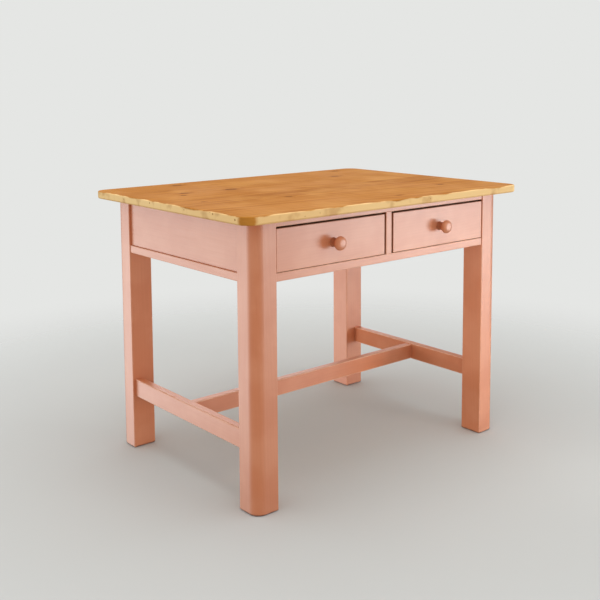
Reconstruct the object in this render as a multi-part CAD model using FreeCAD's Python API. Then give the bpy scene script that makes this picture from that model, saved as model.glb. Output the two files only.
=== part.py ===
"""Kitchen table with two drawers: a painted pine frame under a clear-finished pine top.

X runs along the long sides, the drawers open towards -Y, and +Z is up. The origin is on
the floor, in the middle of the four legs. Lengths are in millimetres.

The table is symmetrical about its middle, so what stands at an end is modelled at the
left and mirrored to the right.
"""
import FreeCAD, Part
import os

V = FreeCAD.Vector
ORIGIN = V(0, 0, 0)
AXES = (V(1, 0, 0), V(0, 1, 0), V(0, 0, 1))
ALONG_X, ALONG_Y, ALONG_Z = range(3)

# ---- Sizes that can be set by themselves ------------------------------------------------

# Whole table
table_height = 780.0
frame_length = 948.0            # over the outer faces of the legs, along X
frame_depth = 680.0             # over the outer faces of the legs, along Y
drawer_opening_height = 118.0   # between the two front rails

# Top, edge-glued from boards that run along X
top_thickness = 22.0
top_end_overhang = 54.0         # past the legs at each end
top_side_overhang = 42.5        # past the legs at front and back
top_corner_radius = 39.0
top_upper_edge_radius = 3.0
top_lower_edge_radius = 5.0
top_board_count = 6

# Legs
leg_size = 72.0
leg_corner_radius = 30.0        # on the outer corner alone
leg_arris = 1.5                 # chamfer on the three other corners
foot_chamfer = 3.0

# Rails and panels
rail_recess = 2.5               # rail faces behind the leg faces
rail_arris = 1.0                # chamfer along the edges of rails and panels
top_rail_thickness = 18.0
lower_rail_thickness = 22.0
lower_rail_width = 45.0         # at the ends and the back
divider_width = 22.0
panel_recess = 6.8              # panel faces behind the leg faces
panel_thickness = 20.0

# Stretchers
end_stretcher_height = 52.8
end_stretcher_recess = 8.8
stretcher_underside = 159.2
stretcher_thickness = 25.0
stretcher_arris = 2.0
centre_stretcher_height = 48.4
centre_stretcher_rise = 1.2     # its underside above that of the end stretchers

# Mortise and tenon joints of the frame
glue_clearance = 0.1            # round a tenon, tail or tongue
mortise_relief = 2.0            # past the end of a tenon
twin_tenon_spacing = 34.0
twin_tenon_width = 16.0
rail_tenon_length = 30.0
rail_tenon_thickness = 14.0
lower_rail_tenon_width = 20.0
panel_tenon_thickness = 8.0
panel_tenon_length = 30.0
panel_tenon_foot = 12.0         # shoulder below the tenon
panel_tenon_haunch = 26.0       # shoulder above the tenon
stretcher_tenon_thickness = 10.0
stretcher_tenon_shoulder = 8.0  # above and below the tenon
leg_stretcher_tenon_length = 35.0
centre_stretcher_tenon_length = 15.0
divider_tenon_length = 10.0
divider_tenon_thickness = 10.0
divider_tenon_shoulder = 12.0   # in front of and behind the tenon
rail_tail_root = 38.0           # dovetail at each end of the top rail
rail_tail_length = 25.0
dovetail_slope = 1.0 / 7.0

# Drawer bay
runner_ledge = 28.0             # how far the end runners and kickers reach past the legs
centre_runner_width = 72.0
guide_height = 18.0
tongue_thickness = 8.0
tongue_length = 8.0
tongue_shoulder = 3.0           # beside a tongue
stop_length = 30.0
stop_width = 25.0
stop_height = 6.0
stop_inset = 70.0               # drawer end to the middle of a stop

# Drawers
drawer_length = 500.0
drawer_leg_gap = 1.0            # beside the leg and beside the guides
drawer_divider_gap = 5.5
drawer_top_gap = 4.5
drawer_bottom_gap = 1.2
drawer_running_gap = 0.3        # under the sides and in front of the stops
drawer_front_thickness = 20.0
drawer_side_thickness = 12.0
drawer_back_thickness = 12.0
drawer_back_drop = 8.0          # back lower than the sides
drawer_bottom_thickness = 6.0
drawer_bottom_height = 10.0     # its underside above the lower edge of the sides
drawer_groove_depth = 6.0
drawer_groove_clearance = 0.2
drawer_arris = 1.0              # chamfer round the face of a drawer
tail_count = 3
tail_gap = 9.0                  # pin between two tails, at the root of the tails
front_tail_length = 14.0

# Turned knobs
knob_length = 38.0
knob_rim_diameter = 38.0
knob_rim_thickness = 4.0
knob_rim_distance = 25.0        # drawer face to the rim
knob_waist_diameter = 23.0
knob_waist_distance = 12.0      # drawer face to the waist
knob_base_diameter = 26.0
knob_base_thickness = 2.0
knob_dowel_diameter = 12.0      # turned on the knob, right through the drawer's front

# Brads that hold the drawers' bottoms
brad_width = 1.6
brad_length = 22.0
brad_spacing = 120.0

# Buttons that hold the top along the back
button_length = 40.0
button_reach = 28.0
button_thickness = 16.0
button_tongue_length = 9.0
button_tongue_thickness = 7.0
button_spacing = 150.0          # between the two above each drawer

# ---- Places worked out from those sizes -------------------------------------------------

leg_length = table_height - top_thickness
end_face = -frame_length / 2                    # outer face of the left legs
front_face = -frame_depth / 2                   # outer face of the front legs
back_face = frame_depth / 2
leg_inner_x = end_face + leg_size               # inner faces of the left legs
leg_inner_y = front_face + leg_size             # rear faces of the front legs
front_rail_y = (front_face + rail_recess, leg_inner_y)
top_rail_z = (leg_length - top_rail_thickness, leg_length)
runner_top = top_rail_z[0] - drawer_opening_height
lower_rail_z = (runner_top - lower_rail_thickness, runner_top)
panel_z = (lower_rail_z[1], leg_length)
end_panel_x = (end_face + panel_recess, end_face + panel_recess + panel_thickness)
end_rail_x = (end_face + rail_recess, end_face + rail_recess + lower_rail_width)
back_panel_y = (back_face - panel_recess - panel_thickness, back_face - panel_recess)
back_rail_y = (back_face - rail_recess - lower_rail_width, back_face - rail_recess)
between_legs_x = (leg_inner_x, -leg_inner_x)
between_legs_y = (leg_inner_y, -leg_inner_y)
end_stretcher_x = (end_face + end_stretcher_recess,
                   end_face + end_stretcher_recess + stretcher_thickness)
end_stretcher_z = (stretcher_underside, stretcher_underside + end_stretcher_height)
centre_stretcher_z = (stretcher_underside + centre_stretcher_rise,
                      stretcher_underside + centre_stretcher_rise + centre_stretcher_height)
ledge_x = leg_inner_x + runner_ledge

drawer_x = (leg_inner_x + drawer_leg_gap, -divider_width / 2 - drawer_divider_gap)
drawer_middle_x = sum(drawer_x) / 2
drawer_front_y = (front_rail_y[0], front_rail_y[0] + drawer_front_thickness)
drawer_front_z = (runner_top + drawer_bottom_gap, top_rail_z[0] - drawer_top_gap)
drawer_side_z = (runner_top + drawer_running_gap, drawer_front_z[1])
drawer_back_y = (drawer_front_y[0] + drawer_length - drawer_back_thickness,
                 drawer_front_y[0] + drawer_length)
drawer_bottom_z = (drawer_side_z[0] + drawer_bottom_height,
                   drawer_side_z[0] + drawer_bottom_height + drawer_bottom_thickness)
drawer_back_z = (drawer_bottom_z[1], drawer_side_z[1] - drawer_back_drop)
guide_half_width = divider_width / 2 + drawer_divider_gap - drawer_leg_gap
knob_middle_z = sum(drawer_front_z) / 2


# ---- Helpers ----------------------------------------------------------------------------

def centred(middle, size):
    """(low, high) pair of a size about a middle."""
    return (middle - size / 2, middle + size / 2)


def shrunk(span, low, high):
    """(low, high) pair with a length taken off each end."""
    return (span[0] + low, span[1] - high)


def block(x, y, z):
    """Rectangular solid between three (low, high) pairs."""
    return Part.makeBox(x[1] - x[0], y[1] - y[0], z[1] - z[0], V(x[0], y[0], z[0]))


def edges_along(shape, axis):
    """Straight edges of a shape that run along one axis."""
    return [edge for edge in shape.Edges
            if isinstance(edge.Curve, Part.Line)
            and abs(edge.tangentAt(edge.FirstParameter).dot(AXES[axis])) > 0.999]


def eased_block(x, y, z, axis, arris):
    """Board whose four long arrises, along one axis, are taken off."""
    board = block(x, y, z)
    return board.makeChamfer(arris, edges_along(board, axis))


def carved(blank, cutters):
    """Blank with those cutters that reach it taken away."""
    near = [cutter for cutter in cutters if blank.BoundBox.intersect(cutter.BoundBox)]
    return blank.cut(near) if near else blank


def joined(board, additions):
    """Board and its tenons or tails as one solid."""
    return board.fuse(additions).removeSplitter().Solids[0]


def socket(limits, axis):
    """Mortise for a tenon with these limits, which points along one axis."""
    growth = [glue_clearance] * 3
    growth[axis] = mortise_relief
    return block(*[(low - by, high + by) for (low, high), by in zip(limits, growth)])


def dovetail(root, outward, across, through, root_width, length, depth, slack=0.0):
    """Tail from the middle of its root line, wider outwards, cut through a depth."""
    near = root - outward * slack - through * slack
    far = near + outward * (length + 2 * slack)
    half_root = root_width / 2 + slack
    half_tip = half_root + length * dovetail_slope
    outline = [near - across * half_root, far - across * half_tip,
               far + across * half_tip, near + across * half_root]
    face = Part.Face(Part.makePolygon(outline + outline[:1]))
    return face.extrude(through * (depth + 2 * slack))


def mirrored_x(shape):
    """The same piece at the right-hand end."""
    return shape.mirror(ORIGIN, AXES[ALONG_X])


def mirrored_y(shape):
    """The same piece at the back."""
    return shape.mirror(ORIGIN, AXES[ALONG_Y])


# ---- Legs -------------------------------------------------------------------------------

def leg_blank():
    """Front left leg before its mortises are cut."""
    blank = block((end_face, leg_inner_x), (front_face, leg_inner_y), (0, leg_length))
    corners = sorted(edges_along(blank, ALONG_Z), key=lambda edge: edge.CenterOfMass.dot(V(1, 1, 0)))
    blank = blank.makeFillet(leg_corner_radius, corners[:1])
    foot = [edge for edge in blank.Edges if edge.BoundBox.ZMax < foot_chamfer]
    blank = blank.makeChamfer(foot_chamfer, foot)
    corners = sorted(edges_along(blank, ALONG_Z), key=lambda edge: edge.CenterOfMass.dot(V(1, 1, 0)))
    return blank.makeChamfer(leg_arris, corners[-3:])


def legs(mortises):
    """All four legs, each with the mortises that reach it."""
    front_left = leg_blank()
    back_left = mirrored_y(front_left)
    blanks = {"leg_front_left": front_left, "leg_front_right": mirrored_x(front_left),
              "leg_back_left": back_left, "leg_back_right": mirrored_x(back_left)}
    return {name: carved(blank, mortises) for name, blank in blanks.items()}


def leg_envelopes():
    """Plain square outlines of the four legs, for what is notched round them."""
    left = [block((end_face, leg_inner_x), y, (0, leg_length))
            for y in ((front_face, leg_inner_y), (-leg_inner_y, back_face))]
    return left + [mirrored_x(envelope) for envelope in left]


# ---- Rails, panels and stretchers -------------------------------------------------------

def at_both_ends(limits, axis):
    """Limits of a tenon and those of its mirror image at the other end."""
    low, high = limits[axis]
    other = list(limits)
    other[axis] = (-high, -low)
    return [limits, tuple(other)]


def tenoned(board, tenons, axis):
    """A board with its tenons, and the mortises that they need."""
    solid = joined(board, [block(*tenon) for tenon in tenons])
    return solid, [socket(tenon, axis) for tenon in tenons]


def front_top_rail():
    """Flat rail over the drawers, dovetailed into the heads of the front legs."""
    board = eased_block(between_legs_x, front_rail_y, top_rail_z, ALONG_X, rail_arris)
    root = V(leg_inner_x, sum(front_rail_y) / 2, top_rail_z[0])
    shape = (root, V(-1, 0, 0), V(0, 1, 0), V(0, 0, 1),
             rail_tail_root, rail_tail_length, top_rail_thickness)
    tail = dovetail(*shape)
    housing = dovetail(*shape, slack=glue_clearance)
    return joined(board, [tail, mirrored_x(tail)]), [housing, mirrored_x(housing)]


def front_lower_rail():
    """Flat rail under the drawers, with a pair of tenons at each end."""
    board = eased_block(between_legs_x, front_rail_y, lower_rail_z, ALONG_X, rail_arris)
    reach = (leg_inner_x - rail_tenon_length, leg_inner_x)
    height = centred(sum(lower_rail_z) / 2, rail_tenon_thickness)
    tenons = []
    for side in (-1, 1):
        middle = sum(front_rail_y) / 2 + side * twin_tenon_spacing / 2
        tenons += at_both_ends((reach, centred(middle, twin_tenon_width), height), ALONG_X)
    return tenoned(board, tenons, ALONG_X)


def drawer_divider():
    """Upright between the two drawers, stub-tenoned into the rails above and below."""
    opening = (lower_rail_z[1], top_rail_z[0])
    board = eased_block(centred(0, divider_width), front_rail_y, opening, ALONG_Z, rail_arris)
    width = centred(0, divider_tenon_thickness)
    depth = shrunk(front_rail_y, divider_tenon_shoulder, divider_tenon_shoulder)
    tenons = [(width, depth, (opening[0] - divider_tenon_length, opening[0])),
              (width, depth, (opening[1], opening[1] + divider_tenon_length))]
    return tenoned(board, tenons, ALONG_Z)


def end_lower_rail():
    """Rail under the left end panel."""
    board = eased_block(end_rail_x, between_legs_y, lower_rail_z, ALONG_Y, rail_arris)
    tenon = (centred(sum(end_rail_x) / 2, lower_rail_tenon_width),
             (leg_inner_y - rail_tenon_length, leg_inner_y),
             centred(sum(lower_rail_z) / 2, rail_tenon_thickness))
    return tenoned(board, at_both_ends(tenon, ALONG_Y), ALONG_Y)


def back_lower_rail():
    """Rail under the back panel."""
    board = eased_block(between_legs_x, back_rail_y, lower_rail_z, ALONG_X, rail_arris)
    tenon = ((leg_inner_x - rail_tenon_length, leg_inner_x),
             centred(sum(back_rail_y) / 2, lower_rail_tenon_width),
             centred(sum(lower_rail_z) / 2, rail_tenon_thickness))
    return tenoned(board, at_both_ends(tenon, ALONG_X), ALONG_X)


def end_panel():
    """Apron board at the left end."""
    board = eased_block(end_panel_x, between_legs_y, panel_z, ALONG_Y, rail_arris)
    tenon = (centred(sum(end_panel_x) / 2, panel_tenon_thickness),
             (leg_inner_y - panel_tenon_length, leg_inner_y),
             shrunk(panel_z, panel_tenon_foot, panel_tenon_haunch))
    return tenoned(board, at_both_ends(tenon, ALONG_Y), ALONG_Y)


def back_panel():
    """Apron board at the back."""
    board = eased_block(between_legs_x, back_panel_y, panel_z, ALONG_X, rail_arris)
    tenon = ((leg_inner_x - panel_tenon_length, leg_inner_x),
             centred(sum(back_panel_y) / 2, panel_tenon_thickness),
             shrunk(panel_z, panel_tenon_foot, panel_tenon_haunch))
    return tenoned(board, at_both_ends(tenon, ALONG_X), ALONG_X)


def end_stretcher():
    """Low rail between the two left legs."""
    board = eased_block(end_stretcher_x, between_legs_y, end_stretcher_z, ALONG_Y,
                        stretcher_arris)
    tenon = (centred(sum(end_stretcher_x) / 2, stretcher_tenon_thickness),
             (leg_inner_y - leg_stretcher_tenon_length, leg_inner_y),
             shrunk(end_stretcher_z, stretcher_tenon_shoulder, stretcher_tenon_shoulder))
    return tenoned(board, at_both_ends(tenon, ALONG_Y), ALONG_Y)


def centre_stretcher():
    """Low rail along the middle, tenoned into the two end stretchers."""
    length = (end_stretcher_x[1], -end_stretcher_x[1])
    board = eased_block(length, centred(0, stretcher_thickness), centre_stretcher_z, ALONG_X,
                        stretcher_arris)
    tenon = ((length[0] - centre_stretcher_tenon_length, length[0]),
             centred(0, stretcher_tenon_thickness),
             shrunk(centre_stretcher_z, stretcher_tenon_shoulder, stretcher_tenon_shoulder))
    return tenoned(board, at_both_ends(tenon, ALONG_X), ALONG_X)


# ---- Inside of the drawer bay -----------------------------------------------------------

def tongue(x, y_from, y_to, z):
    """Limits of a runner's or kicker's tongue, half-way up its edge."""
    return (shrunk(x, tongue_shoulder, tongue_shoulder), (y_from, y_to),
            centred(sum(z) / 2, tongue_thickness))


def runner(x, tongue_x):
    """Board that a drawer side slides on, tongued into the front and back lower rails."""
    board = carved(block(x, (leg_inner_y, back_rail_y[0]), lower_rail_z), leg_envelopes())
    tongues = [tongue(tongue_x, leg_inner_y - tongue_length, leg_inner_y, lower_rail_z),
               tongue(tongue_x, back_rail_y[0], back_rail_y[0] + tongue_length, lower_rail_z)]
    return tenoned(board, tongues, ALONG_Y)


def kicker(x, tongue_x):
    """Board over the drawer sides, tongued into the top rail and butted to the back panel."""
    board = carved(block(x, (leg_inner_y, back_panel_y[0]), top_rail_z), leg_envelopes())
    front = tongue(tongue_x, leg_inner_y - tongue_length, leg_inner_y, top_rail_z)
    return tenoned(board, [front], ALONG_Y)


def end_guide():
    """Strip that steers the outer side of the left drawer, flush with the legs."""
    return block((end_panel_x[1], leg_inner_x), between_legs_y, (runner_top, runner_top + guide_height))


def centre_guide():
    """Strip between the two drawers."""
    return block((-guide_half_width, guide_half_width), (leg_inner_y, back_panel_y[0]),
                 (runner_top, runner_top + guide_height))


def drawer_stops():
    """Blocks on the front lower rail that the drawer fronts close against."""
    start = drawer_front_y[1] + drawer_running_gap
    left = [block(centred(middle, stop_length), (start, start + stop_width),
                  (runner_top, runner_top + stop_height))
            for middle in (drawer_x[0] + stop_inset, drawer_x[1] - stop_inset)]
    return Part.makeCompound(left + [mirrored_x(stop) for stop in left])


# ---- Top and its fastenings -------------------------------------------------------------

def top_buttons():
    """Wooden buttons along the back, with tongues in mortises in the back panel."""
    bay_middle = (ledge_x - centre_runner_width / 2) / 2
    underside = leg_length - button_thickness
    buttons = []
    mortises = []
    for side in (-1, 1):
        x = centred(bay_middle + side * button_spacing / 2, button_length)
        body = block(x, (back_panel_y[0] - button_reach, back_panel_y[0]), (underside, leg_length))
        tongue_limits = (x, (back_panel_y[0], back_panel_y[0] + button_tongue_length),
                         (underside, underside + button_tongue_thickness))
        button, sockets = tenoned(body, [tongue_limits], ALONG_Y)
        buttons += [button, mirrored_x(button)]
        mortises += sockets + [mirrored_x(mortise) for mortise in sockets]
    return Part.makeCompound(buttons), mortises


def top_boards():
    """The boards of the top, cut from one rounded slab."""
    half_length = frame_length / 2 + top_end_overhang
    half_width = frame_depth / 2 + top_side_overhang
    slab = block((-half_length, half_length), (-half_width, half_width), (leg_length, table_height))
    slab = slab.makeFillet(top_corner_radius, edges_along(slab, ALONG_Z))
    for height, radius in ((table_height, top_upper_edge_radius), (leg_length, top_lower_edge_radius)):
        rim = [edge for edge in slab.Edges
               if abs(edge.BoundBox.ZMin - height) < 0.01 and abs(edge.BoundBox.ZMax - height) < 0.01]
        slab = slab.makeFillet(radius, rim)
    board_width = 2 * half_width / top_board_count
    boards = {}
    for number in range(top_board_count):
        start = -half_width + number * board_width
        band = block((-half_length, half_length), (start, start + board_width), (leg_length, table_height))
        boards[f"top_board_{number + 1}"] = slab.common(band).Solids[0]
    return boards


# ---- Drawers ----------------------------------------------------------------------------

def tails(side_x, root_y, outward, height, length, slack=0.0):
    """Row of dovetails on a drawer side, spread over the height of the front or back."""
    pitch = (height[1] - height[0]) / tail_count
    row = []
    for number in range(tail_count):
        root = V(side_x[0], root_y, height[0] + pitch * (number + 0.5))
        row.append(dovetail(root, outward, AXES[ALONG_Z], AXES[ALONG_X], pitch - tail_gap, length,
                            drawer_side_thickness, slack))
    return row


def drawer_bottom(slack=0.0):
    """Panel held in grooves in the front and the sides, or the grooves if given slack."""
    inset = drawer_side_thickness - drawer_groove_depth
    limits = (shrunk(drawer_x, inset, inset),
              (drawer_front_y[1] - drawer_groove_depth, drawer_back_y[1]), drawer_bottom_z)
    return block(*[(low - slack, high + slack) for low, high in limits])


def drawer_side(side_x):
    """Side with tails at both ends, and the cutters for the front and the back."""
    board = block(side_x, (drawer_front_y[1], drawer_back_y[1]), drawer_side_z)
    board = board.cut(block(side_x, drawer_back_y, drawer_back_z))
    rows = [(drawer_front_y[1], V(0, -1, 0), drawer_front_z, front_tail_length),
            (drawer_back_y[0], V(0, 1, 0), drawer_back_z, drawer_back_thickness)]
    side = joined(board, [tail for row in rows for tail in tails(side_x, *row)])
    cutters = [tail for row in rows for tail in tails(side_x, *row, slack=glue_clearance)]
    return side.cut(drawer_bottom(drawer_groove_clearance)), cutters


def drawer_front(cutters):
    """Front with eased face arrises, tail sockets, the bottom's groove and the knob's hole."""
    board = block(drawer_x, drawer_front_y, drawer_front_z)
    face_edges = [edge for edge in board.Edges if edge.BoundBox.YMax < sum(drawer_front_y) / 2]
    return carved(board.makeChamfer(drawer_arris, face_edges), cutters)


def knob():
    """Turned knob with a waist, a domed head and the dowel that goes through the front."""
    dowel, base, waist, rim = (diameter / 2 for diameter in (
        knob_dowel_diameter, knob_base_diameter, knob_waist_diameter, knob_rim_diameter))
    dome = knob_length - knob_rim_distance - knob_rim_thickness
    outline = [(0, -drawer_front_thickness), (dowel, -drawer_front_thickness), (dowel, 0),
               (base, 0), (base, knob_base_thickness), (waist, knob_waist_distance)]
    for step in (1 / 2, 1):
        height = knob_waist_distance + (knob_rim_distance - knob_waist_distance) * step
        outline.append((waist + (rim - waist) * step ** 2, height))
    for step in (1, 1 / 2, 0):
        outline.append((rim * step, knob_length - dome * step ** 2))
    centre = V(drawer_middle_x, drawer_front_y[0], knob_middle_z)
    corners = [centre + V(radius, -distance, 0) for radius, distance in outline]
    face = Part.Face(Part.makePolygon(corners + corners[:1]))
    return face.revolve(centre, AXES[ALONG_Y], 360)


def knob_hole():
    """Hole for the knob's dowel."""
    start = V(drawer_middle_x, drawer_front_y[0], knob_middle_z)
    radius = knob_dowel_diameter / 2 + glue_clearance
    return Part.makeCylinder(radius, drawer_front_thickness, start, AXES[ALONG_Y])


def brads(slack=0.0):
    """Brads up through the drawer's bottom into its back, or their holes if given slack."""
    width = brad_width + 2 * slack
    height = (drawer_bottom_z[0] - slack, drawer_bottom_z[0] + brad_length + slack)
    depth = centred(sum(drawer_back_y) / 2, width)
    return [block(centred(drawer_middle_x + step * brad_spacing, width), depth, height)
            for step in (-1, 0, 1)]


def left_drawer():
    """The pieces of the left drawer."""
    outer_x = (drawer_x[0], drawer_x[0] + drawer_side_thickness)
    inner_x = (drawer_x[1] - drawer_side_thickness, drawer_x[1])
    outer_side, outer_cutters = drawer_side(outer_x)
    inner_side, inner_cutters = drawer_side(inner_x)
    sockets = outer_cutters + inner_cutters
    brad_holes = brads(glue_clearance)
    groove = drawer_bottom(drawer_groove_clearance)
    return {
        "front": drawer_front(sockets + [groove, knob_hole()]),
        "outer_side": outer_side,
        "inner_side": inner_side,
        "back": carved(block(drawer_x, drawer_back_y, drawer_back_z), sockets + brad_holes),
        "bottom": carved(drawer_bottom(), brad_holes),
        "brads": Part.makeCompound(brads()),
        "knob": knob(),
    }


# ---- The whole table --------------------------------------------------------------------

def left_and_right(name, shape):
    """A piece at the left end and its mirror image at the right."""
    return {f"{name}_left": shape, f"{name}_right": mirrored_x(shape)}


def table():
    """Every piece by its node's name."""
    top_rail, leg_mortises = front_top_rail()
    lower_rail, mortises = front_lower_rail()
    leg_mortises += mortises
    divider, rail_mortises = drawer_divider()

    end_boards = {}
    for name, build in (("end_lower_rail", end_lower_rail), ("end_panel", end_panel)):
        board, mortises = build()
        end_boards.update(left_and_right(name, board))
        leg_mortises += mortises + [mirrored_x(mortise) for mortise in mortises]
    back_rail, mortises = back_lower_rail()
    leg_mortises += mortises
    panel, mortises = back_panel()
    leg_mortises += mortises

    low_rail, mortises = end_stretcher()
    leg_mortises += mortises + [mirrored_x(mortise) for mortise in mortises]
    middle_rail, stretcher_mortises = centre_stretcher()
    low_rail = carved(low_rail, stretcher_mortises)

    tongue_x = (leg_inner_x, ledge_x)
    centre_x = centred(0, centre_runner_width)
    end_runner, grooves = runner((end_rail_x[1], ledge_x), tongue_x)
    centre_runner, centre_grooves = runner(centre_x, centre_x)
    end_kicker, kicker_grooves = kicker((end_panel_x[1], ledge_x), tongue_x)
    centre_kicker, centre_kicker_grooves = kicker(centre_x, centre_x)
    grooves += kicker_grooves
    grooves += [mirrored_x(groove) for groove in grooves] + centre_grooves + centre_kicker_grooves

    buttons, button_mortises = top_buttons()
    pieces = top_boards()
    pieces.update(legs(leg_mortises))
    pieces.update(end_boards)
    pieces.update(left_and_right("end_stretcher", low_rail))
    pieces.update(left_and_right("end_runner", end_runner))
    pieces.update(left_and_right("end_guide", end_guide()))
    pieces.update(left_and_right("end_kicker", end_kicker))
    pieces["front_top_rail"] = carved(top_rail, rail_mortises + grooves)
    pieces["front_lower_rail"] = carved(lower_rail, rail_mortises + grooves)
    pieces["drawer_divider"] = divider
    pieces["back_lower_rail"] = carved(back_rail, grooves)
    pieces["back_panel"] = carved(panel, button_mortises)
    pieces["centre_stretcher"] = middle_rail
    pieces["centre_runner"] = centre_runner
    pieces["centre_guide"] = centre_guide()
    pieces["centre_kicker"] = centre_kicker
    pieces["drawer_stops"] = drawer_stops()
    pieces["top_buttons"] = buttons
    for name, shape in left_drawer().items():
        pieces[f"drawer_left_{name}"] = shape
        pieces[f"drawer_right_{name}"] = mirrored_x(shape)
    return pieces


os.makedirs("parts", exist_ok=True)
for node, shape in table().items():
    shape.exportStep(f"parts/{node}.step")
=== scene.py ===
"""Looks of a kitchen table with two drawers.

The frame, the drawer fronts and the knobs are pine under old pink satin paint. The top is pine
under clear lacquer, honey-coloured, and pale where its edges are worn. Sizes and places on the
table are in millimetres below, and everything handed to Blender is in metres. Lamps and the
camera are placed in metres.
"""
import math
import random

import bmesh
import bpy
from mathutils import Matrix, Vector


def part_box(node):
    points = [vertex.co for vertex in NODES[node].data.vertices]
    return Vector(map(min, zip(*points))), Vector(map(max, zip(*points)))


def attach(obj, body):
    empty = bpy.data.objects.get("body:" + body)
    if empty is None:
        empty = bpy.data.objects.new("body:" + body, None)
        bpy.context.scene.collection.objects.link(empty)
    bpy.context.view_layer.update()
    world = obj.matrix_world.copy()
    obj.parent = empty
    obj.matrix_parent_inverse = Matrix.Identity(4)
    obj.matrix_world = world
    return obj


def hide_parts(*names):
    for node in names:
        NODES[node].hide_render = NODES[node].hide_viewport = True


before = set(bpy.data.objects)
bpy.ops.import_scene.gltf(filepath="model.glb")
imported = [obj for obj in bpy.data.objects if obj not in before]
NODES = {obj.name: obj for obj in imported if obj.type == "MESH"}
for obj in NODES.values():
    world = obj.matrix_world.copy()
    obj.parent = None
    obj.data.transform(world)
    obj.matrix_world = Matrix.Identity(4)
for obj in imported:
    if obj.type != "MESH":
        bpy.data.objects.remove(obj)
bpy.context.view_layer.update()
MM = 0.001

# ---- Sizes ------------------------------------------------------------------------------

# Turned knobs: radii, and distances in front of the drawer's face
KNOB_DOWEL_RADIUS = 6.0
KNOB_BASE_RADIUS = 13.0
KNOB_BASE_EASING = 0.7
KNOB_BASE_THICKNESS = 2.0
KNOB_NECK_RADIUS = 11.9
KNOB_WAIST_RADIUS = 11.5
KNOB_WAIST_AT = 12.0
KNOB_HEAD_RADIUS = 19.0
KNOB_HEAD_AT = 27.0
KNOB_HEAD_BACK = 7.0
KNOB_LENGTH = 38.0
KNOB_HEAD_TURN = math.radians(-52)   # where the back of the head starts, from its rim
KNOB_HEAD_FULLNESS = 0.55            # under 1 fills the head out towards a cylinder
KNOB_FLARE = 2.4                     # over 1 keeps the stem slim until close to the head
KNOB_STEPS_ROUND = 72

# Screws that hold the top from below
SCREW_HEAD_RADIUS = 4.2
SCREW_HEAD_HEIGHT = 2.4
SCREW_SHANK_RADIUS = 2.0
SCREW_SHANK_LENGTH = 24.0
SCREW_POINT_LENGTH = 3.0
SCREW_STEPS_ROUND = 24
RAIL_SCREWS_X = (-230, 230)
KICKER_SCREW_SHARES = (0.3, 0.7)     # of the kicker's length
BUTTON_SCREWS_X = (-280, -130, 130, 280)

# Paint runs this far back into the drawer bay and over the edges of the drawer fronts, and its
# end wanders by the second figure
PAINT_LAP_IN_BAY = (14.0, 12.0)
PAINT_LAP_ON_DRAWER = (7.0, 4.0)
# A point counts as lying on a face up to this far from it
TOUCH = 0.4

# Knots in the top: across from the middle, back from the middle, radius
TOP_KNOTS = [
    (-207, 123, 12.0), (-363, 137, 8.5), (-267, 327, 10.0), (283, 197, 9.0), (-190, -130, 7.0),
    (-395, 92, 5.5), (402, 330, 7.0), (-432, -62, 4.0), (350, -215, 6.0), (60, -318, 5.0),
]
# Dents and old nail holes in the edge of the top: middle, and radius
EDGE_MARKS = [
    (-528, 58, 773.5, 2.4), (-528, 200, 771, 1.8), (-528, -244, 775, 2.8), (-528, -232, 778.5, 2.0),
    (-528, -338, 770.6, 3.2), (-528, -114, 772.4, 2.0), (-344, -382, 766, 1.6),
    (-294, -382, 770, 1.6), (120, -382, 771, 1.8), (528, 95, 770, 2.4), (-180, 382, 768, 2.6),
]
# Front left corner of the top, which is left unworn and darkened with painted shade
SHADED_CORNER = Vector((-521, -376, 769))
TOP_CORNER_RADIUS = 39.0
# How dark each board of the top is, from front to back
TOP_BOARD_TONES = [0.30, 0.42, 0.85, 0.40, 0.52, 0.22]
TOP_BOARDS = [f"top_board_{number}" for number in range(1, len(TOP_BOARD_TONES) + 1)]
# Further away than anything on the table, in metres or in radii of a knot
FAR = 99.0


# ---- Colours ----------------------------------------------------------------------------

def linear(code):
    """Linear RGBA of an sRGB hex code."""
    shares = [int(code[start:start + 2], 16) / 255 for start in (1, 3, 5)]
    return (*[s / 12.92 if s <= 0.04045 else ((s + 0.055) / 1.055) ** 2.4 for s in shares], 1.0)


OLD_PINK = linear("#D08058")
OLD_PINK_LIGHT = linear("#D78B65")
OLD_PINK_DEEP = linear("#C1724C")
# Pale pink of arrises: worn paint, made paler still as a painted highlight
RUBBED_AND_HIGHLIT_PINK = linear("#F0BC9E")
# Dark brown at the feet: scuffs, and painted shade on their bottom chamfers
SCUFFS_AND_FOOT_SHADE = linear("#8C523B")
# Brown for painted shade in the gaps round the drawers and on the knobs' stems
PAINTED_SHADE_BROWN = linear("#6A3214")
HONEY_EARLYWOOD = linear("#C3843F")
HONEY_LATEWOOD = linear("#AC6826")
HONEY_STREAK = linear("#9C5D20")
HONEY_PALE = linear("#D9A058")
# Pale worn wood, made paler still as a painted sheen
WORN_EDGE_AND_SHEEN = linear("#FDDB9F")
# Dark honey for painted shade on the front left corner and along the lower part of the top's edge
PAINTED_EDGE_SHADE = linear("#B0742B")
KNOT_HEART = linear("#93591F")
KNOT_RIM = linear("#6A3C16")
BARE_EARLYWOOD = linear("#E4C799")
BARE_LATEWOOD = linear("#C99C63")
ZINC = linear("#B4B3AE")
ZINC_CLOUDED = linear("#97968F")
SCREED = linear("#D0D2D0")
SCREED_DAMP = linear("#CBCDCB")
DAYLIGHT = (1.0, 0.99, 0.975, 1.0)
BACKDROP = linear("#E5E6E4")


# ---- Nodes ------------------------------------------------------------------------------

# Settings that many nodes share
SMOOTH = {"interpolation_type": "SMOOTHSTEP"}
COLOURS = {"data_type": "RGBA", "output": 2}


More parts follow.
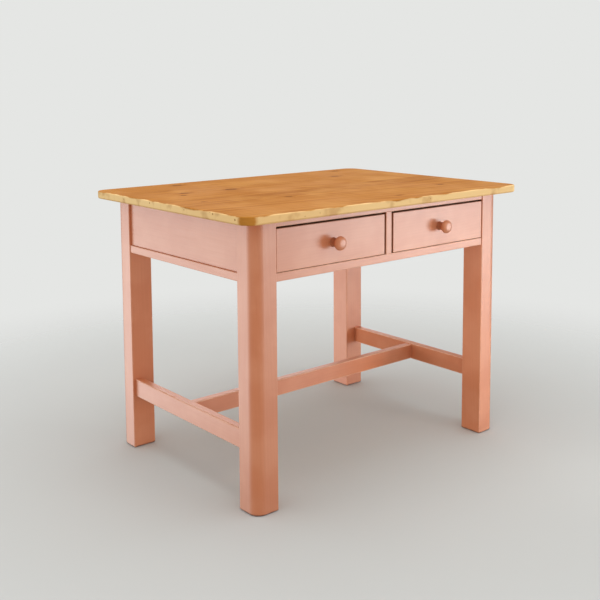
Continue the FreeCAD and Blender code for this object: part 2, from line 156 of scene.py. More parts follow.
def add(tree, kind, inputs=(), output=0, **settings):
    """Add a node with its settings and links, and return one of its outputs.

    Inputs come in the order of the node's sockets, or by name. One that is a socket is linked,
    and any other is set."""
    node = tree.nodes.new(f"ShaderNode{kind}")
    for name, value in settings.items():
        setattr(node, name, value)
    for key, value in inputs.items() if isinstance(inputs, dict) else enumerate(inputs):
        if isinstance(value, bpy.types.NodeSocket):
            tree.links.new(value, node.inputs[key])
        else:
            node.inputs[key].default_value = value
    return node.outputs[output] if node.outputs else None


def empty_material(name):
    """New material and its empty node tree."""
    material = bpy.data.materials.new(name)
    material.use_nodes = True
    material.node_tree.nodes.clear()
    return material, material.node_tree


def overlap(tree, *masks):
    """Product of masks, which is 1 only where all of them are."""
    product = masks[0]
    for mask in masks[1:]:
        product = add(tree, "Math", (product, mask), operation="MULTIPLY")
    return product


def tinted(tree, colour, tint, value, low, high, share_low=0.0, share_high=1.0):
    """Colour under a tint, whose share goes from one figure to another as a value goes from low
    to high."""
    share = add(tree, "MapRange", (value, low, high, share_low, share_high), **SMOOTH)
    return add(tree, "Mix", {0: share, 6: colour, 7: tint}, **COLOURS)


def place(tree):
    """Where a point of the table is at rest, in metres."""
    return add(tree, "TexCoord", output="Object")


def grain_space(tree, axis, shift):
    """Place turned so that its X runs with the grain, in another part of the log for each piece."""
    turn = {"X": (0, 0, 0), "Y": (0, 0, -math.pi / 2), "Z": (0, math.pi / 2, 0)}[axis]
    turned = add(tree, "Mapping", {"Vector": place(tree), "Rotation": turn})
    lot = add(tree, "ObjectInfo", output="Random")
    log_length = (3.7, 0, 0)
    spread = add(tree, "VectorMath", (lot, log_length, shift), operation="MULTIPLY_ADD")
    return add(tree, "VectorMath", (turned, spread), operation="ADD")


def fibres(tree, grain, width, length, detail=2.0):
    """Streaks along the grain, of a width and a length in millimetres."""
    drawn = add(tree, "VectorMath", (grain, (width / length, 1, 1)), operation="MULTIPLY")
    return add(tree, "TexNoise", {"Vector": drawn, "Scale": 1 / (width * MM), "Detail": detail,
                                  "Roughness": 0.55})


def clouds(tree, vector, size, detail=3.0):
    """Soft patches of a size in millimetres."""
    return add(tree, "TexNoise", {"Vector": vector, "Scale": 1 / (size * MM), "Detail": detail})


def growth_rings(tree, grain, ring, pith, push=0.0):
    """Growth rings of a width in millimetres round a pith beside the board: 1 is dark latewood.

    The log is a little crooked and tapered, and some of its years are wider than others."""
    bend = 30 * MM
    drawn = add(tree, "VectorMath", (grain, (0.22, 1, 1)), operation="MULTIPLY")
    wander = add(tree, "TexNoise", {"Vector": drawn, "Scale": 7.0, "Detail": 2.0,
                                    "Roughness": 0.45}, output="Color")
    bent = add(tree, "VectorMath", (wander, (0, bend, bend), grain), operation="MULTIPLY_ADD")
    taper = (0, 0.028, 0.012)
    tilted = add(tree, "Mapping", {"Vector": bent, "Rotation": taper,
                                   "Location": (0, pith[0] * MM, pith[1] * MM)})
    across = add(tree, "VectorMath", (tilted, (0, 1, 1)), operation="MULTIPLY")
    radius = add(tree, "VectorMath", (across,), output="Value", operation="LENGTH")
    pushed = add(tree, "Math", (radius, push), operation="ADD")
    count = add(tree, "Math", (pushed, ring * MM), operation="DIVIDE")
    years = add(tree, "TexNoise", {"W": count, "Scale": 0.37, "Detail": 1.0},
                noise_dimensions="1D")
    uneven = add(tree, "Math", (years, 2.2, count), operation="MULTIPLY_ADD")
    phase = add(tree, "Math", (uneven,), operation="FRACT")
    return overlap(tree, add(tree, "MapRange", (phase, 0.25, 0.86), **SMOOTH),
                   add(tree, "MapRange", (phase, 0.88, 1.0, 1.0, 0.0), **SMOOTH))


def eased_normal(tree, radius):
    """Normal with the arrises rounded by a radius in millimetres."""
    return add(tree, "Bevel", {"Radius": radius * MM}, samples=6)


def arrises(tree, reach):
    """1 on the chamfers of lying pieces, and along all arrises within a reach in millimetres."""
    facing = add(tree, "NewGeometry", output="True Normal")
    alike = add(tree, "VectorMath", (eased_normal(tree, reach), facing), output="Value",
                operation="DOT_PRODUCT")
    rounded = add(tree, "MapRange", (alike, 0.90, 0.995, 1.0, 0.0), **SMOOTH)
    upward = add(tree, "Math", (add(tree, "SeparateXYZ", (facing,), output="Z"),),
                 operation="ABSOLUTE")
    sloping = overlap(tree, add(tree, "MapRange", (upward, 0.25, 0.5), **SMOOTH),
                      add(tree, "MapRange", (upward, 0.85, 0.97, 1.0, 0.0), **SMOOTH))
    return add(tree, "Math", (sloping, rounded), operation="MAXIMUM")


# ---- Bare pine --------------------------------------------------------------------------

def bare_pine_surface(tree, grain):
    """Colour and relief of planed pine: pale earlywood, darker rings and fine fibres."""
    rings = growth_rings(tree, grain, 4.5, (11, -46))
    fine = fibres(tree, grain, 0.9, 60)
    darkness = add(tree, "Math", (rings, 0.75), operation="MULTIPLY")
    colour = add(tree, "Mix", {0: darkness, 6: BARE_EARLYWOOD, 7: BARE_LATEWOOD}, **COLOURS)
    colour = tinted(tree, colour, BARE_LATEWOOD, fine, 0.45, 0.8, 0.0, 0.35)
    relief = add(tree, "Math", (rings, 0.5, fine), operation="MULTIPLY_ADD")
    return colour, relief


def bare_pine(axis):
    """Planed pine inside the table and the drawers: pale, dry and matt, with fine grain."""
    material, tree = empty_material(f"bare_planed_pine_{axis.lower()}")
    grain = grain_space(tree, axis, (0.3, 0.02, 0.01))
    colour, relief = bare_pine_surface(tree, grain)
    bump = add(tree, "Bump", {"Height": relief, "Distance": 0.06 * MM, "Strength": 0.6,
                              "Normal": eased_normal(tree, 0.8)})
    shader = add(tree, "BsdfPrincipled", {"Base Color": colour, "Roughness": 0.62,
                                          "Specular IOR Level": 0.3, "Normal": bump})
    add(tree, "OutputMaterial", {"Surface": shader})
    return material


# ---- Painted pine -----------------------------------------------------------------------

def bare_and_shaded_in_bay(tree):
    """Where the pieces round the drawers are bare, behind a ragged lap of paint, and where painted
    shade darkens the walls of the bay in the gaps, just behind the drawers' faces."""
    spot = place(tree)
    x, y, z = add(tree, "SeparateXYZ", (spot,)).node.outputs
    lap, wander = PAINT_LAP_IN_BAY
    ragged = add(tree, "Math", (clouds(tree, spot, 14), -wander * MM, y), operation="MULTIPLY_ADD")
    sideways = add(tree, "Math", (x,), operation="ABSOLUTE")
    rail_low, rail_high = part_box("front_lower_rail")
    between_ends = add(tree, "Math", (sideways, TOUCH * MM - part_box("end_panel_left")[1].x),
                       operation="LESS_THAN")
    before_back = add(tree, "Math", (y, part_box("back_panel")[0].y + TOUCH * MM),
                      operation="LESS_THAN")
    behind_lap = add(tree, "Math", (ragged, rail_low.y + (lap - wander / 2) * MM),
                     operation="GREATER_THAN")
    above_rail = add(tree, "Math", (z, rail_high.z - TOUCH * MM), operation="GREATER_THAN")
    below_rail = add(tree, "Math", (z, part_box("front_top_rail")[0].z + TOUCH * MM),
                     operation="LESS_THAN")
    bare = overlap(tree, between_ends, before_back, behind_lap, above_rail)

    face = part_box("drawer_left_front")[0].y
    # Painted shade on the walls of the bay in the gaps beside the drawers
    gap_shade = add(tree, "MapRange", (y, face + 0.8 * MM, face + 4 * MM), **SMOOTH)
    fading = add(tree, "MapRange", (y, face + 12 * MM, face + 30 * MM, 0.8, 0.0), **SMOOTH)
    return bare, overlap(tree, gap_shade, fading, between_ends, above_rail, below_rail)


def bare_and_shaded_on_drawer(tree):
    """Where a drawer's front and the knob's dowel are bare, behind a ragged lap of paint, and
    where painted shade darkens it: in the gaps, along the top and inner edges, and on the knob's
    stem."""
    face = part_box("drawer_left_front")[0].y
    spot = place(tree)
    x, y, z = add(tree, "SeparateXYZ", (spot,)).node.outputs
    lap, wander = PAINT_LAP_ON_DRAWER
    ragged = add(tree, "Math", (clouds(tree, spot, 9), -wander * MM, y), operation="MULTIPLY_ADD")
    bare = add(tree, "Math", (ragged, face + (lap - wander / 2) * MM), operation="GREATER_THAN")

    # Painted shade on the edges of the front back from its face, which lie in the gaps
    gap_shade = add(tree, "MapRange", (y, face + 0.8 * MM, face + 4 * MM, 0.0, 0.55), **SMOOTH)
    near_face = add(tree, "Math", (y, face + 12 * MM), operation="LESS_THAN")
    # Painted shade on the knob's stem, under its head
    stem_shade = overlap(
        tree, add(tree, "MapRange", (y, face - 0.5 * MM, face - 2.5 * MM), **SMOOTH),
        add(tree, "MapRange", (y, face - 22 * MM, face - 14 * MM, 0.0, 0.4), **SMOOTH))
    # Painted shade behind the face and on the stem together
    darkening = add(tree, "Math", (overlap(tree, gap_shade, near_face), stem_shade), operation="ADD")

    # Painted shade along the top and inner edges of the face, beside the gaps
    low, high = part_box("drawer_right_front")
    from_top = add(tree, "Math", (high.z, z), operation="SUBTRACT")
    sideways = add(tree, "Math", (x,), operation="ABSOLUTE")
    from_side = add(tree, "Math", (sideways, low.x), operation="SUBTRACT")
    from_edge = add(tree, "Math", (from_top, from_side), operation="MINIMUM")
    rim_shade = add(tree, "MapRange", (from_edge, 0.6 * MM, 2.6 * MM, 0.45, 0.0), **SMOOTH)
    return bare, add(tree, "Math", (darkening, rim_shade), operation="MAXIMUM")


def painted_pine(name, axis, bare_and_shaded, wear_and_highlight=1.0):
    """Satin furniture paint brushed on pine: even and soft, with faint brush marks along the grain,
    the rings of the wood just raised under it, and arrises worn paler and lit up with painted
    highlights. Painted shade darkens the feet, along with scuffs, and the gaps round the drawers
    and the knobs' stems."""
    material, tree = empty_material(name)
    grain = grain_space(tree, axis, (0, 0, 0))
    spot = place(tree)
    brush = fibres(tree, grain, 1.6, 140, detail=3.0)
    rings = growth_rings(tree, grain, 7.0, (18, -52))
    colour = tinted(tree, OLD_PINK, OLD_PINK_LIGHT, clouds(tree, spot, 110), 0.35, 0.68)
    colour = tinted(tree, colour, OLD_PINK_DEEP, brush, 0.52, 0.80, 0.0, 0.30)
    raised = add(tree, "Math", (rings, 0.10), operation="MULTIPLY")
    colour = add(tree, "Mix", {0: raised, 6: colour, 7: OLD_PINK_DEEP}, **COLOURS)

    # Arrises and chamfers: worn paler, and lightened further as painted highlights
    edges = arrises(tree, 2.2)
    uneven_wear_and_highlight = add(tree, "MapRange", (clouds(tree, spot, 26), 0.36, 0.62, 0.65 * wear_and_highlight, wear_and_highlight),
                      **SMOOTH)
    rubbed_and_highlit = overlap(tree, edges, uneven_wear_and_highlight)
    colour = add(tree, "Mix", {0: rubbed_and_highlit, 6: colour, 7: RUBBED_AND_HIGHLIT_PINK}, **COLOURS)
    # The lowest few millimetres darken: scuffs, and painted shade on the feet's bottom chamfers
    height = add(tree, "SeparateXYZ", (spot,), output="Z")
    uneven_height = add(tree, "Math", (clouds(tree, spot, 12), -6 * MM, height),
                        operation="MULTIPLY_ADD")
    colour = tinted(tree, colour, SCUFFS_AND_FOOT_SHADE, uneven_height, -1 * MM, 3 * MM, 0.85, 0.0)

    bare, shaded = bare_and_shaded(tree)
    wood = bare_pine_surface(tree, grain)[0]
    colour = add(tree, "Mix", {0: bare, 6: colour, 7: wood}, **COLOURS)
    # Painted shade in the gaps round the drawers and on the knobs' stems
    colour = add(tree, "Mix", {0: shaded, 6: colour, 7: PAINTED_SHADE_BROWN}, **COLOURS)
    relief = add(tree, "Math", (rings, 0.9, brush), operation="MULTIPLY_ADD")
    bump = add(tree, "Bump", {"Height": relief, "Distance": 0.05 * MM, "Strength": 0.45,
                              "Normal": eased_normal(tree, 1.4)})
    satin = add(tree, "MapRange", (brush, 0.2, 0.9, 0.45, 0.52), **SMOOTH)
    roughness = add(tree, "Math", (edges, 0.5, satin), operation="MULTIPLY_ADD")
    shader = add(tree, "BsdfPrincipled", {"Base Color": colour, "Roughness": roughness,
                                          "Specular IOR Level": 0.3, "Normal": bump})
    add(tree, "OutputMaterial", {"Surface": shader})
    return material


# ---- Honey pine of the top --------------------------------------------------------------

def knots(tree, spot, low, high):
    """How far the knots near a board push its rings aside, and how many of its own radii the
    nearest knot is away."""
    push, nearest = 0.0, FAR
    for across, back, radius in TOP_KNOTS:
        if not low - 20 * MM < back * MM < high + 20 * MM:
            continue
        size = radius * MM
        away = add(tree, "VectorMath", (spot, (across * MM, back * MM, 0)), operation="SUBTRACT")
        shape = add(tree, "VectorMath", (away, (0.62 / size, 1 / size, 0)), operation="MULTIPLY")
        radii = add(tree, "VectorMath", (shape,), output="Value", operation="LENGTH")
        bulge = add(tree, "MapRange", (radii, 0.0, 4.0, size * 1.3, 0.0), **SMOOTH)
        push = add(tree, "Math", (bulge, push), operation="ADD")
        nearest = add(tree, "Math", (radii, nearest), operation="MINIMUM")
    return push, nearest


def honey_wood(tree, spot, number):
    """Colour, relief and stain of one board of the top, apart from its edges."""
    low, high = (corner.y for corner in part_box(TOP_BOARDS[number - 1]))
    lot = random.Random(number)
    start = (lot.uniform(2, 9), -(low + high) / 2, -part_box(TOP_BOARDS[0])[1].z)
    grain = add(tree, "VectorMath", (spot, start), operation="ADD")
    push, nearest = knots(tree, spot, low, high)
    ring = lot.uniform(7.5, 10.5)
    pith = (lot.uniform(-20, 20), -lot.uniform(46, 70))
    rings = growth_rings(tree, grain, ring, pith, push)
    streaks = fibres(tree, grain, 7.0, 420, detail=3.0)
    fine = fibres(tree, grain, 1.3, 90)
    stain = clouds(tree, spot, 190)

    latewood = add(tree, "Math", (rings, 0.62), operation="MULTIPLY")
    colour = add(tree, "Mix", {0: latewood, 6: HONEY_EARLYWOOD, 7: HONEY_LATEWOOD}, **COLOURS)
    stained = add(tree, "MapRange", (stain, 0.35, 0.65), **SMOOTH)
    darkness = add(tree, "Math", (stained, 0.60, TOP_BOARD_TONES[number - 1] - 0.25),
                   operation="MULTIPLY_ADD")
    streaky = add(tree, "MapRange", (streaks, 0.38, 0.66), **SMOOTH)
    colour = add(tree, "Mix", {0: overlap(tree, streaky, darkness), 6: colour, 7: HONEY_STREAK},
                 **COLOURS)
    colour = tinted(tree, colour, HONEY_STREAK, fine, 0.50, 0.85, 0.0, 0.40)
    sunny = clouds(tree, spot, 150, detail=2.0)
    colour = tinted(tree, colour, HONEY_PALE, sunny, 0.48, 0.70, 0.0, 0.30)

    wavering = add(tree, "Math", (clouds(tree, spot, 5), 0.5, nearest), operation="MULTIPLY_ADD")
    colour = tinted(tree, colour, HONEY_STREAK, wavering, 1.0, 3.2, 0.70, 0.0)
    colour = tinted(tree, colour, KNOT_RIM, wavering, 1.05, 1.50, 0.85, 0.0)
    colour = tinted(tree, colour, KNOT_HEART, wavering, 0.70, 1.0, 0.9, 0.0)

    dents = clouds(tree, spot, 22, detail=2.0)
    dented = add(tree, "Math", (dents, 3.0, fine), operation="MULTIPLY_ADD")
    return colour, add(tree, "Math", (rings, 0.8, dented), operation="MULTIPLY_ADD"), stain


def distance_inside_edge(tree):
    """How far a point of the top lies inside its rounded outline, in metres."""
    radius = TOP_CORNER_RADIUS * MM
    half_length = max(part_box(board)[1].x for board in TOP_BOARDS)
    half_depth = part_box(TOP_BOARDS[-1])[1].y
    mirrored = add(tree, "VectorMath", (place(tree),), operation="ABSOLUTE")
    corner_middle = (half_length - radius, half_depth - radius, FAR)
    beyond = add(tree, "VectorMath", (mirrored, corner_middle), operation="SUBTRACT")
    past_middle = add(tree, "VectorMath", (beyond, (0, 0, 0)), operation="MAXIMUM")
    outside = add(tree, "VectorMath", (past_middle,), output="Value", operation="LENGTH")
    x, y, _ = add(tree, "SeparateXYZ", (beyond,)).node.outputs
    larger = add(tree, "Math", (x, y), operation="MAXIMUM")
    within = add(tree, "Math", (larger, 0.0), operation="MINIMUM")
    signed = add(tree, "Math", (outside, within), operation="ADD")
    return add(tree, "Math", (radius, signed), operation="SUBTRACT")


def worn_edge(tree, spot, colour):
    """Colour of a board with its worn edge, and where it is worn: pale with a wavy upper limit and
    brightened further as a painted sheen, golden near the front left corner, and a little grimy.
    Painted shade darkens that corner itself and the lower part of the edge."""
    height = add(tree, "SeparateXYZ", (spot,), output="Z")
    below = add(tree, "Math", (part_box(TOP_BOARDS[0])[1].z, height), operation="SUBTRACT")
    inset = add(tree, "Math", (distance_inside_edge(tree), below), operation="SUBTRACT")
    wavy = add(tree, "Math", (clouds(tree, spot, 70, detail=4.0), -26 * MM, inset),
               operation="MULTIPLY_ADD")
    corner = add(tree, "VectorMath", (spot, SHADED_CORNER * MM), output="Value",
                 operation="DISTANCE")
    worn = overlap(tree, add(tree, "MapRange", (wavy, -16 * MM, -11 * MM, 0.92, 0.0), **SMOOTH),
                   add(tree, "MapRange", (corner, 20 * MM, 34 * MM), **SMOOTH))
    # Painted shade on the front left corner itself
    colour = tinted(tree, colour, PAINTED_EDGE_SHADE, corner, 16 * MM, 36 * MM, 0.75, 0.0)
    # Worn edge, brightened as a painted sheen, and golden towards the front left corner
    golden = tinted(tree, WORN_EDGE_AND_SHEEN, HONEY_PALE, corner, 60 * MM, 450 * MM, 0.20, 0.0)
    colour = add(tree, "Mix", {0: worn, 6: colour, 7: golden}, **COLOURS)
    # Painted shade along the lower part of the edge
    underside_shade = add(tree, "MapRange", (below, 16 * MM, 20.5 * MM, 0.0, 0.45), **SMOOTH)
    colour = add(tree, "Mix", {0: overlap(tree, worn, underside_shade), 6: colour, 7: PAINTED_EDGE_SHADE},
                 **COLOURS)
    darkening = add(tree, "MapRange", (clouds(tree, spot, 45, detail=2.0), 0.52, 0.72, 0.0, 0.40),
               **SMOOTH)
    colour = add(tree, "Mix", {0: overlap(tree, darkening, worn), 6: colour, 7: HONEY_STREAK},
                 **COLOURS)
    return colour, worn


def marks_and_seams(tree, spot, colour, board):
    """Colour of a board with the dents and nail holes in its edge and its two glued seams."""
    low, high = (corner.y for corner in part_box(board))
    marked = 0.0
    for *middle, radius in EDGE_MARKS:
        if not low - 10 * MM < middle[1] * MM < high + 10 * MM:
            continue
        size = radius * MM
        away = add(tree, "VectorMath", (spot, Vector(middle) * MM), output="Value",
                   operation="DISTANCE")
        mark = add(tree, "MapRange", (away, size * 0.5, size * 1.2, 0.8, 0.0), **SMOOTH)
        marked = add(tree, "Math", (mark, marked), operation="MAXIMUM")
    colour = add(tree, "Mix", {0: marked, 6: colour, 7: KNOT_HEART}, **COLOURS)
    back = add(tree, "SeparateXYZ", (spot,), output="Y")
    from_front = add(tree, "Math", (back, low), operation="SUBTRACT")
    from_back = add(tree, "Math", (high, back), operation="SUBTRACT")
    from_seam = add(tree, "Math", (from_front, from_back), operation="MINIMUM")
    return tinted(tree, colour, KNOT_HEART, from_seam, 0.2 * MM, 0.9 * MM, 0.22, 0.0)


def honey_pine(number):
    """Old pine under clear satin lacquer: honey-coloured, with wide rings, knots and dark
    streaks on each board, and pale and matt where the edges are worn."""
    material, tree = empty_material(f"honey_pine_board_{number}")
    spot = place(tree)
    colour, relief, stain = honey_wood(tree, spot, number)
    colour, worn = worn_edge(tree, spot, colour)
    colour = marks_and_seams(tree, spot, colour, TOP_BOARDS[number - 1])
    bump = add(tree, "Bump", {"Height": relief, "Distance": 0.08 * MM, "Strength": 0.5,
                              "Normal": eased_normal(tree, 0.5)})
    satin = add(tree, "MapRange", (stain, 0.3, 0.7, 0.50, 0.62), **SMOOTH)
    matt = add(tree, "Math", (worn, arrises(tree, 2.5)), operation="MAXIMUM")
    roughness = add(tree, "Math", (matt, 0.35, satin), operation="MULTIPLY_ADD")
    shader = add(tree, "BsdfPrincipled", {"Base Color": colour, "Roughness": roughness,
                                          "Specular IOR Level": 0.03, "Normal": bump})
    add(tree, "OutputMaterial", {"Surface": shader})
    return material


# ---- Steel and floor --------------------------------------------------------------------

def zinc_plated_steel():
    """Screws and brads: bright zinc with a soft, slightly clouded shine."""
    material, tree = empty_material("zinc_plated_steel")
    cloudy = clouds(tree, place(tree), 3)
    colour = add(tree, "Mix", {0: cloudy, 6: ZINC, 7: ZINC_CLOUDED}, **COLOURS)
    roughness = add(tree, "MapRange", (cloudy, 0.3, 0.7, 0.28, 0.42), **SMOOTH)
    shader = add(tree, "BsdfPrincipled", {"Base Color": colour, "Roughness": roughness,
                                          "Metallic": 1.0})
    add(tree, "OutputMaterial", {"Surface": shader})
    return material


def pale_screed():
    """Plain pale floor, faintly mottled, that fades into the background far from the table."""
    material, tree = empty_material("pale_screed")
    spot = place(tree)
    mottled = add(tree, "Mix", {0: clouds(tree, spot, 900), 6: SCREED, 7: SCREED_DAMP}, **COLOURS)
    shader = add(tree, "BsdfPrincipled", {"Base Color": mottled, "Roughness": 0.75,
                                          "Specular IOR Level": 0.08})
    far = add(tree, "VectorMath", (spot,), output="Value", operation="LENGTH")
    clearness = add(tree, "MapRange", (far, 0.85, 2.2), **SMOOTH)
    faded = add(tree, "MixShader", (clearness, shader, add(tree, "BsdfTransparent")))
    add(tree, "OutputMaterial", {"Surface": faded})
    return material


# ---- Finishes of the carried-over pieces ------------------------------------------------

def dress_nodes():
    """Give every piece of the frame and the drawers its finish."""
    paint = {axis: painted_pine(f"satin_paint_on_pine_{axis.lower()}", axis,
                                bare_and_shaded_in_bay) for axis in "XYZ"}
    front_paint = painted_pine("satin_paint_on_drawer", "X", bare_and_shaded_on_drawer)
    knob_paint = painted_pine("satin_paint_on_knob", "X", bare_and_shaded_on_drawer, wear_and_highlight=0.1)
    bare = {axis: bare_pine(axis) for axis in "XYZ"}
    steel = zinc_plated_steel()
    # By how the name of a piece begins, where the longest match counts
    finishes = {
        "leg": paint["Z"], "drawer_divider": paint["Z"], "front": paint["X"], "back": paint["X"],
        "centre_stretcher": paint["X"], "end_lower_rail": paint["Y"], "end_panel": paint["Y"],
        "end_stretcher": paint["Y"], "end_runner": bare["Y"], "end_guide": bare["Y"],
        "end_kicker": bare["Y"], "centre_runner": bare["Y"], "centre_guide": bare["Y"],
        "centre_kicker": bare["Y"], "drawer_stops": bare["X"], "top_buttons": bare["Y"],
    }
    drawer_finishes = {"front": front_paint, "outer_side": bare["Y"], "inner_side": bare["Y"],
                       "back": bare["X"], "bottom": bare["X"], "brads": steel,
                       "knob": knob_paint}
    for side in ("left", "right"):
        for piece, finish in drawer_finishes.items():
            finishes[f"drawer_{side}_{piece}"] = finish
    for number, board in enumerate(TOP_BOARDS, start=1):
        finishes[board] = honey_pine(number)
    for name, node in NODES.items():
        key = max((key for key in finishes if name.startswith(key)), key=len)
        for holder in node.material_slots:
            holder.material = finishes[key]
    return knob_paint, steel


# ---- Turned pieces ----------------------------------------------------------------------

def knob_outline(front_thickness):
    """Half outline of a turned knob: (radius, distance in front of the drawer's face)."""
    outline = [(0.0, -front_thickness), (KNOB_DOWEL_RADIUS, -front_thickness),
               (KNOB_DOWEL_RADIUS, 0.0)]
    bead = KNOB_BASE_THICKNESS / 2
    for step in range(7):
        turn = math.pi * (step / 6 - 0.5)
        outline.append((KNOB_BASE_RADIUS - KNOB_BASE_EASING * (1 - math.cos(turn)),
                        bead + bead * math.sin(turn)))
    for step in range(1, 11):
        share = step / 10
        hollow = (KNOB_NECK_RADIUS - KNOB_WAIST_RADIUS) * (1 - share) ** 2
        outline.append((KNOB_WAIST_RADIUS + hollow,
                        KNOB_BASE_THICKNESS + (KNOB_WAIST_AT - KNOB_BASE_THICKNESS) * share))
    under = KNOB_HEAD_AT + KNOB_HEAD_BACK * math.sin(KNOB_HEAD_TURN)
    under_radius = KNOB_HEAD_RADIUS * math.cos(KNOB_HEAD_TURN) ** KNOB_HEAD_FULLNESS
    for step in range(1, 11):
        share = step / 10
        flare = (under_radius - KNOB_WAIST_RADIUS) * share ** KNOB_FLARE
        outline.append((KNOB_WAIST_RADIUS + flare, KNOB_WAIST_AT + (under - KNOB_WAIST_AT) * share))
    for step in range(1, 25):
        turn = KNOB_HEAD_TURN + (math.pi / 2 - KNOB_HEAD_TURN) * step / 24
        depth = KNOB_HEAD_BACK if turn < 0 else KNOB_LENGTH - KNOB_HEAD_AT
        outline.append((KNOB_HEAD_RADIUS * max(math.cos(turn), 0.0) ** KNOB_HEAD_FULLNESS,
                        KNOB_HEAD_AT + depth * math.sin(turn)))
    return outline


def screw_outline():
    """Half outline of a round-headed screw: (radius, distance below the face it sits on)."""
    turns = [math.radians(degrees) for degrees in range(0, 91, 15)]
    dome = [(SCREW_HEAD_RADIUS * math.sin(turn), SCREW_HEAD_HEIGHT * math.cos(turn))
            for turn in turns]
    return dome + [(SCREW_SHANK_RADIUS, 0.0), (SCREW_SHANK_RADIUS, -SCREW_SHANK_LENGTH),
                   (0.0, -SCREW_SHANK_LENGTH - SCREW_POINT_LENGTH)]


def turned_piece(name, outline, centre, axis, steps):
    """Smooth solid turned round an axis through a centre."""
    side = Vector((0, 0, 1)) if abs(axis.z) < 0.5 else Vector((1, 0, 0))
    shape = bmesh.new()
    points = [shape.verts.new(centre + (side * radius + axis * along) * MM)
              for radius, along in outline]
    edges = [shape.edges.new(pair) for pair in zip(points, points[1:])]
    bmesh.ops.spin(shape, geom=points + edges, cent=centre, axis=axis, angle=2 * math.pi,
                   steps=steps, use_duplicate=False)
    bmesh.ops.remove_doubles(shape, verts=shape.verts, dist=1e-6)
    bmesh.ops.recalc_face_normals(shape, faces=shape.faces)
    mesh = bpy.data.meshes.new(name)
    shape.to_mesh(mesh)
    shape.free()
    mesh.shade_smooth()
    mesh.set_sharp_from_angle(angle=math.radians(35))
    piece = bpy.data.objects.new(name, mesh)
    bpy.context.scene.collection.objects.link(piece)
    return piece


def make_knobs(paint):
    """A turned knob on each drawer."""
    for side in ("left", "right"):
        low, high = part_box(f"drawer_{side}_knob")
        front_low, front_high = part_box(f"drawer_{side}_front")
        centre = Vector(((low.x + high.x) / 2, front_low.y, (low.z + high.z) / 2))
        outline = knob_outline((front_high.y - front_low.y) / MM)
        knob = turned_piece(f"knob_{side}", outline, centre, Vector((0, -1, 0)), KNOB_STEPS_ROUND)
        knob.data.materials.append(paint)
        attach(knob, f"drawer_{side}")
        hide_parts(f"drawer_{side}_knob")


def make_screws(steel):
    """Round-headed screws up through the front top rail, the kickers and the buttons."""
    rail_low, rail_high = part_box("front_top_rail")
    places = [Vector((x * MM, (rail_low.y + rail_high.y) / 2, rail_low.z)) for x in RAIL_SCREWS_X]
    for kicker in ("end_kicker_left", "centre_kicker", "end_kicker_right"):
        low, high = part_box(kicker)
        for share in KICKER_SCREW_SHARES:
            back = low.y + (high.y - low.y) * share
            places.append(Vector(((low.x + high.x) / 2, back, low.z)))
    button_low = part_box("top_buttons")[0]
    button_middle = (button_low.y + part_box("back_panel")[0].y) / 2
    places += [Vector((x * MM, button_middle, button_low.z)) for x in BUTTON_SCREWS_X]
    for number, spot in enumerate(places, start=1):
        screw = turned_piece(f"top_screw_{number}", screw_outline(), spot, Vector((0, 0, -1)),
                             SCREW_STEPS_ROUND)
        screw.data.materials.append(steel)
        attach(screw, "table_frame")


# ---- Floor, light and camera ------------------------------------------------------------

FLOOR_HALF = 14.0          # metres
FLOOR_DROP = 0.5           # millimetres below the feet

# Pieces with lamps of their own, for the faces that the camera sees of them
LEFT_FACES = ["leg_front_left", "leg_back_left", "leg_back_right", "end_panel_left",
              "end_lower_rail_left", "end_stretcher_left"]
FRONT_FACES = ["drawer_left_front", "drawer_right_front", "knob_left", "knob_right",
               "drawer_divider", "front_lower_rail", "front_top_rail", "leg_front_left",
               "leg_front_right", "leg_back_right"]
SHADED_BY_TOP = ["leg_front_right", "leg_back_right", "end_stretcher_right", "centre_stretcher"]
STRETCHERS = ["end_stretcher_left", "centre_stretcher", "end_stretcher_right"]

# Camera at eye height, off the front left corner: metres, millimetres of lens, and degrees
CAMERA_PLACE = (-1.82982, -2.13527, 1.10186)
CAMERA_LENS = 55.69
CAMERA_SENSOR = 36.0
CAMERA_SHIFT = -0.2
CAMERA_HEADING = -39.985
CAMERA_DOWNWARD = 6.068
CAMERA_ROLL = -0.340


def make_floor():
    """Large plain floor."""
    mesh = bpy.data.meshes.new("floor")
    corners = [(-FLOOR_HALF, -FLOOR_HALF, 0), (FLOOR_HALF, -FLOOR_HALF, 0),
               (FLOOR_HALF, FLOOR_HALF, 0), (-FLOOR_HALF, FLOOR_HALF, 0)]
    mesh.from_pydata(corners, [], [(0, 1, 2, 3)])
    floor = bpy.data.objects.new("floor", mesh)
    floor.location.z = -FLOOR_DROP * MM
    bpy.context.scene.collection.objects.link(floor)
    mesh.materials.append(pale_screed())


def softbox(name, location, target, size, watts, pieces=(), sheen_only=False, grid=180):
    """Soft rectangular lamp that faces a target and lights the named pieces, or everything.

    A grid narrows its beam to an angle. A sheen lamp is seen in reflections alone."""
    lamp = bpy.data.lights.new(name, "AREA")
    lamp.shape = "RECTANGLE"
    lamp.size, lamp.size_y = size
    lamp.energy = watts
    lamp.spread = math.radians(grid)
    box = bpy.data.objects.new(name, lamp)
    box.location = location
    box.rotation_euler = (Vector(target) - Vector(location)).to_track_quat("-Z", "Y").to_euler()
    box.visible_camera = False
    box.visible_diffuse = not sheen_only
    bpy.context.scene.collection.objects.link(box)
    if pieces:
        lit = bpy.data.collections.new(f"lit_by_{name}")
        box.light_linking.receiver_collection = lit
        for piece in pieces:
            lit.objects.link(NODES.get(piece) or bpy.data.objects[piece])
    return box


def shine_past_floor(box):
    """Let the floor cast no shadow in a lamp's light, so that the lamp can stand for light that
    a bright floor throws up."""
    blocking = bpy.data.collections.new(f"blocking_{box.name}")
    blocking.objects.link(bpy.data.objects["floor"])
    blocking.collection_objects[0].light_linking.link_state = "EXCLUDE"
    box.light_linking.blocker_collection = blocking


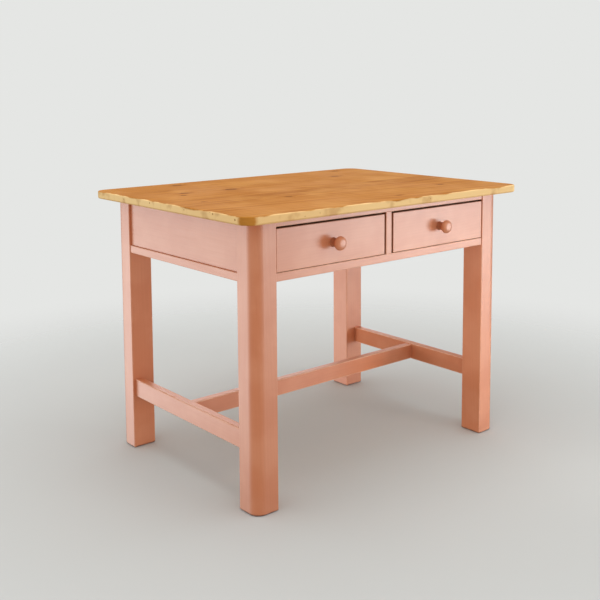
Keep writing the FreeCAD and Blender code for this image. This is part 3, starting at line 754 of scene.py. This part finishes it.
def surround():
    """Daylight from all round, and the pale backdrop that the camera and reflections see."""
    world = bpy.data.worlds.new("daylight")
    bpy.context.scene.world = world
    world.use_nodes = True
    tree = world.node_tree
    tree.nodes.clear()
    ambient = add(tree, "Background", {"Color": DAYLIGHT, "Strength": 0.77})
    backdrop = add(tree, "Background", {"Color": BACKDROP, "Strength": 1.0})
    path = add(tree, "LightPath").node.outputs
    seen = add(tree, "Math", (path["Is Camera Ray"], path["Is Glossy Ray"]), operation="MAXIMUM")
    seen = add(tree, "Math", (seen, path["Is Transmission Ray"]), operation="MAXIMUM")
    add(tree, "OutputWorld", {"Surface": add(tree, "MixShader", (seen, ambient, backdrop))})


def light_table():
    """A softbox overhead and a small one near the floor light everything. Two lamps lift what the
    top shades and the edge of the top. Four sheen lamps stand where the painted faces and the
    tops of the stretchers mirror them towards the camera."""
    softbox("overhead", (-0.3, -0.2, 3.2), (0, 0, 0.5), (2.6, 2.2), 36)
    softbox("daylight_low", (0.9, -2.0, 0.3), (0.15, 0.1, 0.22), (0.5, 0.4), 0.7, grid=40)
    softbox("light_under_top", (-2.6, 1.2, 0.5), (0, 0, 0.3), (1.2, 0.6), 26, SHADED_BY_TOP)
    softbox("light_at_edge", (0.6, -3.4, 0.6), (0, -0.38, 0.77), (1.6, 0.3), 20, TOP_BOARDS)
    sheen_left = softbox("sheen_left", (-2.6, 2.7, -0.3), (-0.47, 0, 0.45), (2.6, 2.0), 168,
                         LEFT_FACES, sheen_only=True)
    shine_past_floor(sheen_left)
    softbox("sheen_low_right", (2.2, -2.6, 0.3), (0.1, -0.3, 0.6), (1.3, 0.5), 145,
            FRONT_FACES + ["centre_stretcher"], sheen_only=True)
    softbox("sheen_right", (3.6, -3.6, 1.3), (0.1, -0.3, 0.5), (1.8, 1.2), 110,
            FRONT_FACES + ["leg_back_left"], sheen_only=True)
    softbox("sheen_behind", (1.5, 2.5, 1.2), (-0.2, 0, 0.29), (1.8, 1.0), 30, STRETCHERS,
            sheen_only=True)


def place_camera():
    """Camera that looks a little down on the table, with its frame shifted to fit."""
    lens = bpy.data.cameras.new("camera")
    lens.lens = CAMERA_LENS
    lens.sensor_width = CAMERA_SENSOR
    lens.shift_y = CAMERA_SHIFT
    camera = bpy.data.objects.new("camera", lens)
    heading = Matrix.Rotation(math.radians(CAMERA_HEADING), 4, "Z")
    tilt = Matrix.Rotation(math.radians(90 - CAMERA_DOWNWARD), 4, "X")
    roll = Matrix.Rotation(math.radians(CAMERA_ROLL), 4, "Z")
    camera.matrix_world = Matrix.Translation(CAMERA_PLACE) @ heading @ tilt @ roll
    bpy.context.scene.collection.objects.link(camera)
    bpy.context.scene.camera = camera


place_camera()
knob_paint, screw_steel = dress_nodes()
make_knobs(knob_paint)
make_screws(screw_steel)
make_floor()
surround()
light_table()
bpy.context.scene.view_settings.view_transform = "Standard"
